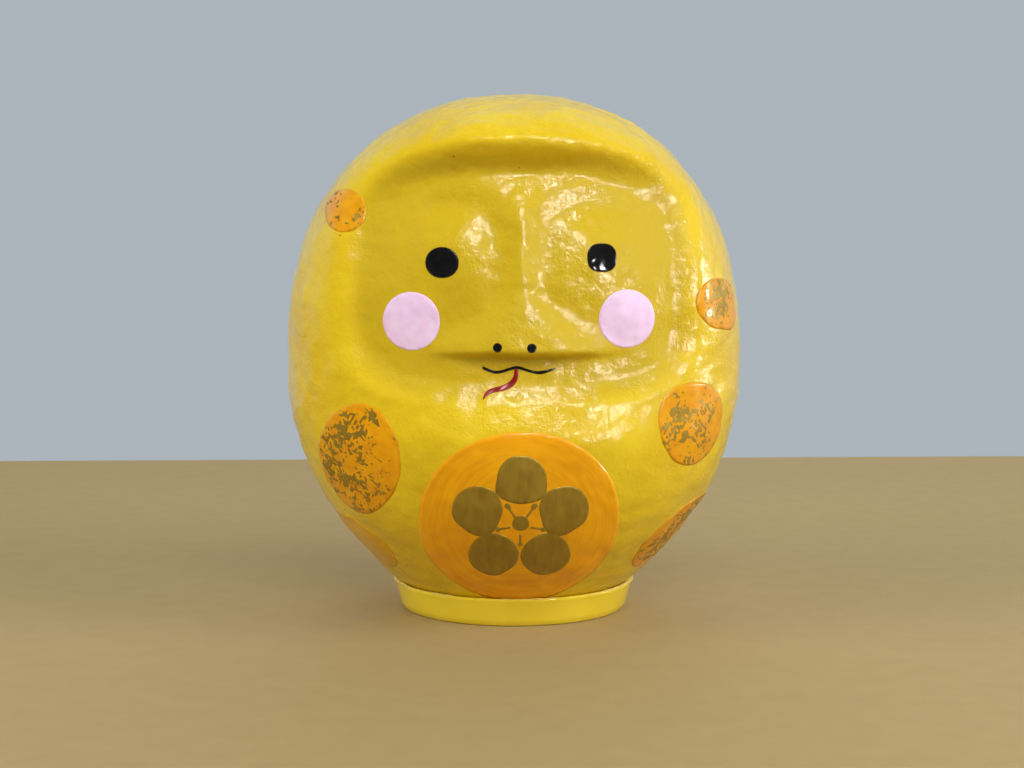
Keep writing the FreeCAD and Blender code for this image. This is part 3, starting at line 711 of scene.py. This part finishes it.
def make_foot():
    """The foot: a shallow tapered dish, slightly out of true, hollowed to hold the shell."""
    lower, upper = FOOT["lower_edge"], FOOT["upper_edge"]
    turns = np.linspace(-math.pi / 2, -0.15, 5)
    profile = corner_arc(FOOT_BOTTOM_RADIUS - lower, lower, lower, turns)
    for share in np.linspace(0.15, 0.85, 8):
        radius = FOOT_BOTTOM_RADIUS + (FOOT_TOP_RADIUS - FOOT_BOTTOM_RADIUS) * share
        profile.append((radius, FOOT_HEIGHT * share))
    turns = np.linspace(0.1, math.pi / 2, 4)
    profile += corner_arc(FOOT_TOP_RADIUS - upper, FOOT_HEIGHT - upper, upper, turns)
    for z in np.linspace(FOOT_HEIGHT - 0.2, SEAT_Z, 7):
        profile.append((float(half_width(z)) + FOOT["gap"], z))
    floor, hole = FOOT["floor"], FOOT["hole"]
    profile.append((float(half_width(SEAT_Z)) - FOOT["seat"], floor))
    profile += [(hole, floor), (hole, 0.0), (FOOT["ring"], 0.0)]

    def wobble(radius, z, angle):
        outside = smoothstep(38.0, 43.0, radius)
        spot = np.array([[radius * math.cos(angle), radius * math.sin(angle), z]])
        large, small = lattice_noise(spot, 14.0, SEED + 5)[0], lattice_noise(spot, 4.0, SEED + 6)[0]
        lump = 0.22 * large + 0.07 * small
        rise = smoothstep(2.0, FOOT_HEIGHT, z)
        return radius + outside * lump, z + 0.3 * rise * lump

    points, faces = lathe(profile, 288, wobble)
    make_piece("foot", points, faces, "yellow_foot", "base_dish")


def make_glue():
    """The glue line: an uneven smear along the seam, thickest at the doll's two sides."""
    def wobble(radius, z, angle):
        spot = np.array([[46 * math.cos(angle), 46 * math.sin(angle), 0.0]])
        large, small = lattice_noise(spot, 9.0, SEED + 8)[0], lattice_noise(spot, 3.0, SEED + 9)[0]
        swell = 0.35 * large + 0.3 * small - 0.15
        swell = max(swell, -0.3) + 0.9 * abs(math.cos(angle)) ** 8
        offset = (radius - GLUE_RADIUS) * (0.35 + 0.9 * swell)
        return GLUE_RADIUS + offset + 0.25, FOOT_HEIGHT - 0.1 + z * (0.3 + 0.9 * swell)

    profile = [(GLUE_RADIUS - GLUE_HALF, -0.8), (GLUE_RADIUS + GLUE_HALF, -0.5)]
    profile += corner_arc(GLUE_RADIUS, 0.0, GLUE_HALF, np.linspace(0.3, 2.6, 7))
    points, faces = lathe(profile, 300, wobble)
    make_piece("glue_line", points, faces, "dried_glue", "glue_bead")


def round_film(node, slot, skin, grain, waver):
    place = front_place(np.mean(box_mm(node), axis=0))
    outline = hull_outline(node_points(node), place, 160, waver, len(node))
    film(node, slot, place, skin, [outline], grain)


MOUTH_SHARES = [(0.0, 0.86), (0.08, 0.42), (0.19, 0.14), (0.31, 0.46), (0.44, 0.90), (0.55, 0.70)]
MOUTH_SHARES += [(0.70, 0.16), (0.83, 0.16), (1.0, 0.74)]
MOUTH_WIDTHS = [0.95, 1.1, 1.1, 1.05, 1.1, 1.05, 1.0, 1.2, 0.45]
TONGUE_SHARES = [(0.97, 1.0), (0.94, 0.75), (0.80, 0.52), (0.55, 0.38), (0.27, 0.30), (0.10, 0.18)]
TONGUE_SHARES += [(0.0, 0.0)]
TONGUE_WIDTHS = [1.5, 1.7, 2.1, 1.8, 1.6, 1.2, 0.35]


def line_film(node, slot, shares, widths, skin):
    """A brush line whose spine is given as shares of its design node's box, less the line's own width."""
    low, high = box_mm(node)
    margin = 0.5
    place = front_place((0.0, low[1], 0.0))
    width, height = high[0] - low[0] - 2 * margin, high[2] - low[2] - 2 * margin
    spine = [(low[0] + margin + across * width, low[2] + margin + up * height) for across, up in shares]
    outline = stroke_outline(spine, widths, 70)
    film(node, slot, place, skin, [outline], 0.35, thickness=LINE_THICKNESS)


# The blossom, out from its middle: where its heart ends, its stamens start and end, and its anthers start.
PETALS = 5
HEART_REACH, STAMEN_START, STAMEN_END, ANTHER_START = 3.7, 3.72, 7.4, 7.42
STAMEN_HALF_WIDTH = 0.45


def make_blossom(skin):
    """Plum blossom on the disc: five round petals, a heart and stamens, brushed in gold."""
    middle = np.mean(box_mm("blossom_centre"), axis=0)
    place = front_place(middle)
    petals = node_points("blossom_petals")
    sector = sectors(place.flat(petals), 0.0)
    outlines = [hull_outline(petals[sector == k], place, 120, 0.012, 30 + k) for k in range(PETALS)]
    film("blossom_petals", "gold_paint", place, skin, outlines, 0.8, GOLD_THICKNESS, GOLD_BASE)
    points = node_points("blossom_centre")
    flat = place.flat(points)
    reach, sector = np.hypot(*flat.T), sectors(flat, 0.5)
    outlines = [hull_outline(points[reach < HEART_REACH], place, 60, 0.01, 40)]
    for k in range(PETALS):
        anther = hull_outline(points[(reach > ANTHER_START) & (sector == k)], place, 40)
        outlines += [anther, bar_outline(anther.mean(0), STAMEN_START, STAMEN_END, STAMEN_HALF_WIDTH)]
    film("blossom_centre", "gold_paint", place, skin, outlines, 0.3, GOLD_THICKNESS, GOLD_BASE)


def sectors(flat, shift):
    """Which fifth of a turn from straight up each point lies in."""
    turn = np.arctan2(-flat[:, 0], flat[:, 1]) / (2 * np.pi) * PETALS - shift
    return np.mod(np.round(turn).astype(int), PETALS)


def bar_outline(towards, start, end, half):
    """Straight bar of a given half width, pointing from the middle towards a point."""
    along = towards / np.hypot(*towards)
    aside = np.array([-along[1], along[0]]) * half
    near, far = start * along, end * along
    return np.array([near - aside, far - aside, far + aside, near + aside])


ROUNDED_SPOT = "left_temple"  # a plain round as seen from the front
BARE_SPOT = "left_hip"  # thin paint without gold


def make_spots(skin):
    for node in sorted(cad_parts):
        if not node.startswith("spot_"):
            continue
        name = node[len("spot_"):]
        seed = sum(map(ord, name))
        if name == ROUNDED_SPOT:
            place, waves = front_place(np.mean(box_mm(node), axis=0)), 2
        else:
            place, waves = node_place(node), 5
        outline = hull_outline(node_points(node), place, 200, 0.012, seed, waves)
        bare = name == BARE_SPOT
        film(node, "thin_orange" if bare else "spot_orange", place, skin, [outline], 1.1)
        if not bare:
            sponge(name, place, outline, seed, skin)


def sponge(name, place, outline, seed, skin):
    """Sponged gold: ragged islands and specks, where a field of noise stands above its level."""
    low, high = outline.min(0), outline.max(0)
    middle, half = (low + high) / 2, (high - low) / 2
    across, up = np.meshgrid(*(np.arange(low[axis], high[axis], SPONGE_STEP) for axis in (0, 1)))
    flat = np.stack([across, up, np.full(across.shape, seed * 10.0)], axis=-1)
    reach = np.hypot((across - middle[0]) / half[0], (up - middle[1]) / half[1])
    field = 0.8 * lattice_noise(flat, 9.0, seed) + 0.55 * lattice_noise(flat, 2.6, seed + 1)
    field += 0.95 * lattice_noise(flat, 0.9, seed + 2) - 0.12 - 0.6 * reach**2
    spread = flat[..., :2].reshape(-1, 2)
    inside = inside_any(spread, [outline]) & (edge_distance(spread, [outline]) > SPONGE_EDGE)
    field = np.where(inside.reshape(reach.shape), field, -1.0)
    points, faces = above_level(across, up, field)
    solid, faces = wrap_film(points, faces, place, skin, np.full(len(points), SPONGED_TOP), SPONGED_ROOT)
    make_piece("gold_" + name, solid, faces, "sponged_gold", "gold_" + name)


def above_level(across, up, field):
    """Polygons of the part of a grid where the field is above zero."""
    corners = ((0, 0), (0, 1), (1, 1), (1, 0))
    points, faces, known = [], [], {}

    def vertex(key, place):
        if key not in known:
            known[key] = len(points)
            points.append(place)
        return known[key]

    positive = field > 0
    some = positive[:-1, :-1] | positive[1:, :-1] | positive[:-1, 1:] | positive[1:, 1:]
    for row, column in zip(*np.nonzero(some)):
        face = []
        for here, there in zip(corners, corners[1:] + corners[:1]):
            a, b = (row + here[0], column + here[1]), (row + there[0], column + there[1])
            if positive[a]:
                face.append(vertex(a, (across[a], up[a])))
            if positive[a] != positive[b]:
                first, second = min(a, b), max(a, b)
                share = field[first] / (field[first] - field[second])
                share = min(max(share, 0.05), 0.95)
                place = (
                    across[first] + (across[second] - across[first]) * share,
                    up[first] + (up[second] - up[first]) * share,
                )
                face.append(vertex((first, second), place))
        faces.append(tuple(face))
    return points, faces


def make_doll():
    skin = make_shell()
    make_foot()
    make_glue()
    for side in ("left", "right"):
        round_film(side + "_eye", "black_gloss", skin, grain=0.5, waver=0.004)
    for side in ("left", "right"):
        round_film(side + "_nostril", "black_gloss", skin, grain=0.3, waver=0.004)
    for side in ("left", "right"):
        round_film(side + "_cheek", "pink_paint", skin, grain=0.8, waver=0.006)
    line_film("tongue", "red_paint", TONGUE_SHARES, TONGUE_WIDTHS, skin)
    line_film("mouth_line", "black_gloss", MOUTH_SHARES, MOUTH_WIDTHS, skin)
    round_film("belly_disc", "disc_orange", skin, grain=1.1, waver=0.004)
    make_blossom(skin)
    make_spots(skin)
    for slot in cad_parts["clay_weight"].material_slots:
        slot.material = MATERIALS["dried_clay"]


# ---- floor, light and camera -----------------------------------------------------------------------
def make_floor():
    finish = Finish("floor")
    speckle = finish.noise(90.0, 4.0)
    finish.set(Base_Color=finish.mix(speckle, (0.36, 0.26, 0.10), (0.41, 0.30, 0.125)), Roughness=0.7)
    finish.set(Normal=finish.bump(finish.noise(700.0, 3.0), 0.05))
    side, near, far = 1.6, -1.4, 0.45
    mesh = bpy.data.meshes.new("floor")
    corners = [(-side, near, 0), (side, near, 0), (side, far, 0), (-side, far, 0)]
    mesh.from_pydata(corners, [], [(0, 1, 2, 3)])
    mesh.materials.append(finish.material)
    floor = bpy.data.objects.new("floor", mesh)
    bpy.context.collection.objects.link(floor)


def area_light(name, bearing, elevation, distance, size, power, glints=True, shade=True):
    """Square light aimed at the doll's middle; bearing 0 is in front, positive to the right.

    A light without glints isn't mirrored by the lacquer, and one without shade is seen only as a reflection.
    """
    turn, lift = math.radians(bearing), math.radians(elevation)
    aim = Vector((0, 0, HEIGHT * MM / 2))
    way = Vector((math.sin(turn) * math.cos(lift), -math.cos(turn) * math.cos(lift), math.sin(lift)))
    data = bpy.data.lights.new(name, "AREA")
    data.size, data.energy = size, power
    light = bpy.data.objects.new(name, data)
    light.location = aim + way * distance
    light.rotation_mode = "QUATERNION"
    light.rotation_quaternion = way.to_track_quat("Z", "Y")
    light.visible_glossy, light.visible_diffuse = glints, shade
    bpy.context.collection.objects.link(light)


def make_light():
    area_light("ceiling", 0, 84, 1.5, 1.8, 0.8, glints=False)
    area_light("back", 170, 30, 1.6, 1.2, 8.8, glints=False)
    area_light("front", 8, 34, 1.6, 1.0, 11.2, glints=False)
    area_light("window", 66, 27, 1.4, 0.8, 12.5, glints=False)
    area_light("fill", -70, 28, 1.4, 0.9, 10.6, glints=False)
    area_light("key", 33, 14, 1.3, 0.2, 5.8, shade=False)
    area_light("lamp", 7, 47, 1.3, 0.2, 6.0, shade=False)
    area_light("pane", 95, 8, 1.3, 0.24, 6.0, shade=False)
    world = bpy.data.worlds.new("studio")
    world.use_nodes = True
    nodes, links = world.node_tree.nodes, world.node_tree.links
    place = nodes.new("ShaderNodeTexCoord")
    parts = nodes.new("ShaderNodeSeparateXYZ")
    links.new(place.outputs["Generated"], parts.inputs[0])
    ramp = nodes.new("ShaderNodeValToRGB")
    # The dim room that the doll faces, and the pale wall behind it.
    tones = [(0.0, (0.09, 0.095, 0.10, 1.0)), (0.6, (0.41, 0.46, 0.50, 1.0))]
    for element, (position, colour) in zip(ramp.color_ramp.elements, tones):
        element.position, element.color = position, colour
    links.new(parts.outputs["Y"], ramp.inputs[0])
    links.new(ramp.outputs[0], nodes["Background"].inputs["Color"])
    bpy.context.scene.world = world
    bpy.context.scene.view_settings.view_transform = "Standard"


def make_camera():
    """Camera a little to the left of straight ahead, level with the brow and looking slightly down."""
    data = bpy.data.cameras.new("camera")
    data.sensor_width, data.lens = 36.0, 62.8
    camera = bpy.data.objects.new("camera", data)
    bearing, tilt, distance, height = math.radians(-2.2), math.radians(4.93), 0.704, 0.1483
    camera.location = (distance * math.sin(bearing), -distance * math.cos(bearing), height)
    aside = math.radians(0.05)
    camera.rotation_euler = (math.pi / 2 - tilt, 0.0, bearing + aside)
    bpy.context.collection.objects.link(camera)
    bpy.context.scene.camera = camera


make_camera()
make_doll()
make_floor()
make_light()
